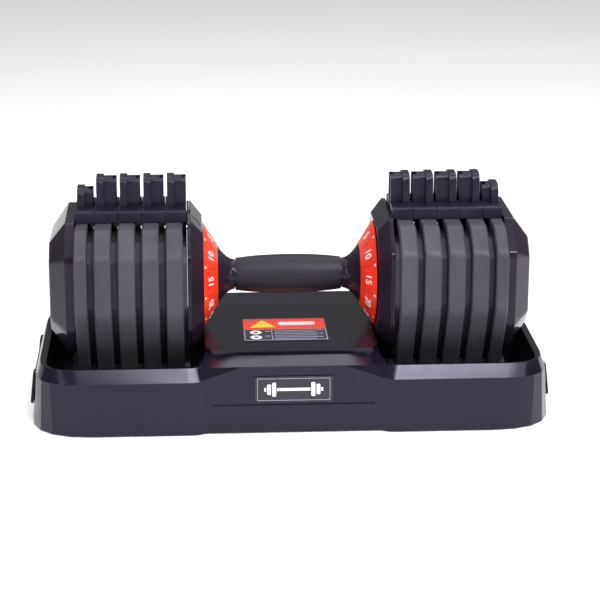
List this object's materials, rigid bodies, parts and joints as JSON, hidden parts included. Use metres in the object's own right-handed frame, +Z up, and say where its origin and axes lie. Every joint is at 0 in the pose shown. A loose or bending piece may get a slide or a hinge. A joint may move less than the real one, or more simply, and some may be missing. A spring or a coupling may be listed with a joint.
{
  "type": "adjustable dumbbell",
  "caption": "Twist-handle adjustable dumbbell with stacked dark plates, red-orange numbered dials and a black docking tray.",
  "frame": {"origin": "centre of the bounding box's bottom face, where the feet stand", "axes": "+X along the handle to the right, +Y to the back, +Z up"},
  "size_m": [0.4764, 0.21, 0.216],
  "materials": {
    "tray_moulding": "satin moulded",
    "plate_coat": "matte powder coat on steel",
    "gloss_black": "glossy",
    "grip_rubber": "matte",
    "dial_plastic": "satin",
    "bush_plastic": "plain",
    "rubber_black": "matte",
    "label_film": "printed film",
    "bracket_plastic": "satin moulded",
    "dark_steel": "black oxide",
    "steel": "zinc plated"
  },
  "bodies": {
    "tray": {"tray_shell": "tray_moulding", "name_badge": "gloss_black", "deck_label": "label_film", "end_grip_right": "rubber_black", "foot_front_right": "rubber_black", "foot_rear_right": "rubber_black", "cradle_right": "tray_moulding", "unlock_post_right": "tray_moulding", "end_grip_left": "rubber_black", "foot_front_left": "rubber_black", "foot_rear_left": "rubber_black", "cradle_left": "tray_moulding", "unlock_post_left": "tray_moulding"},
    "core": {"spine_tube": "steel", "inner_housing_right": "gloss_black", "housing_back_plate_right": "gloss_black", "bush_right": "bush_plastic", "lock_spring_right": "steel", "inner_housing_left": "gloss_black", "housing_back_plate_left": "gloss_black", "bush_left": "bush_plastic", "lock_spring_left": "steel"},
    "handle": {"grip_sleeve": "grip_rubber", "cam_sleeve": "dark_steel", "neck_collar_right": "gloss_black", "dial_right": "dial_plastic", "neck_collar_left": "gloss_black", "dial_left": "dial_plastic"},
    "bar_right": {"selector_bar_right": "steel", "follower_pin_right": "steel"},
    "lock_right": {"lock_pin_right": "steel"},
    "bar_left": {"selector_bar_left": "steel", "follower_pin_left": "steel"},
    "lock_left": {"lock_pin_left": "steel"},
    "plate_1_right": {"plate_1_right": "plate_coat", "tab_bracket_1_right": "bracket_plastic"},
    "plate_2_right": {"plate_2_right": "plate_coat", "tab_bracket_2_right": "bracket_plastic"},
    "plate_3_right": {"plate_3_right": "plate_coat", "tab_bracket_3_right": "bracket_plastic"},
    "plate_4_right": {"plate_4_right": "plate_coat", "tab_bracket_4_right": "bracket_plastic"},
    "plate_5_right": {"plate_5_right": "plate_coat", "tab_bracket_5_right": "bracket_plastic", "outer_cover_right": "gloss_black"},
    "plate_1_left": {"plate_1_left": "plate_coat", "tab_bracket_1_left": "bracket_plastic"},
    "plate_2_left": {"plate_2_left": "plate_coat", "tab_bracket_2_left": "bracket_plastic"},
    "plate_3_left": {"plate_3_left": "plate_coat", "tab_bracket_3_left": "bracket_plastic"},
    "plate_4_left": {"plate_4_left": "plate_coat", "tab_bracket_4_left": "bracket_plastic"},
    "plate_5_left": {"plate_5_left": "plate_coat", "tab_bracket_5_left": "bracket_plastic", "outer_cover_left": "gloss_black"}
  },
  "joints": [
    {"name": "core_lift", "type": "slide", "parent": "tray", "child": "core", "axis": [0, 0, 1], "range_m": [0, 0.25]},
    {"name": "handle_turn", "type": "hinge", "parent": "core", "child": "handle", "pos_m": [0, 0, 0.12], "axis": [-1, 0, 0], "range_deg": [0, 180]},
    {"name": "bar_right_slide", "type": "slide", "parent": "core", "child": "bar_right", "axis": [1, 0, 0], "range_m": [0, 0.107]},
    {"name": "bar_left_slide", "type": "slide", "parent": "core", "child": "bar_left", "axis": [-1, 0, 0], "range_m": [0, 0.107]},
    {"name": "lock_right_slide", "type": "slide", "parent": "core", "child": "lock_right", "axis": [0, 0, -1], "range_m": [0, 0.005], "deforming": ["lock_spring_right"]},
    {"name": "lock_left_slide", "type": "slide", "parent": "core", "child": "lock_left", "axis": [0, 0, -1], "range_m": [0, 0.005], "deforming": ["lock_spring_left"]},
    {"name": "plate_1_right_lift", "type": "slide", "parent": "tray", "child": "plate_1_right", "axis": [0, 0, 1], "range_m": [0, 0.25]},
    {"name": "plate_2_right_lift", "type": "slide", "parent": "tray", "child": "plate_2_right", "axis": [0, 0, 1], "range_m": [0, 0.25]},
    {"name": "plate_3_right_lift", "type": "slide", "parent": "tray", "child": "plate_3_right", "axis": [0, 0, 1], "range_m": [0, 0.25]},
    {"name": "plate_4_right_lift", "type": "slide", "parent": "tray", "child": "plate_4_right", "axis": [0, 0, 1], "range_m": [0, 0.25]},
    {"name": "plate_5_right_lift", "type": "slide", "parent": "tray", "child": "plate_5_right", "axis": [0, 0, 1], "range_m": [0, 0.25]},
    {"name": "plate_1_left_lift", "type": "slide", "parent": "tray", "child": "plate_1_left", "axis": [0, 0, 1], "range_m": [0, 0.25]},
    {"name": "plate_2_left_lift", "type": "slide", "parent": "tray", "child": "plate_2_left", "axis": [0, 0, 1], "range_m": [0, 0.25]},
    {"name": "plate_3_left_lift", "type": "slide", "parent": "tray", "child": "plate_3_left", "axis": [0, 0, 1], "range_m": [0, 0.25]},
    {"name": "plate_4_left_lift", "type": "slide", "parent": "tray", "child": "plate_4_left", "axis": [0, 0, 1], "range_m": [0, 0.25]},
    {"name": "plate_5_left_lift", "type": "slide", "parent": "tray", "child": "plate_5_left", "axis": [0, 0, 1], "range_m": [0, 0.25]}
  ],
  "couplings": [
    {"joint": "bar_right_slide", "follows": "handle_turn", "m_per_rad": 0.034059},
    {"joint": "bar_left_slide", "follows": "handle_turn", "m_per_rad": 0.034059},
    {"joint": "lock_right_slide", "follows": "core_lift", "ratio": 0.0199},
    {"joint": "lock_left_slide", "follows": "core_lift", "ratio": 0.0199}
  ]
}
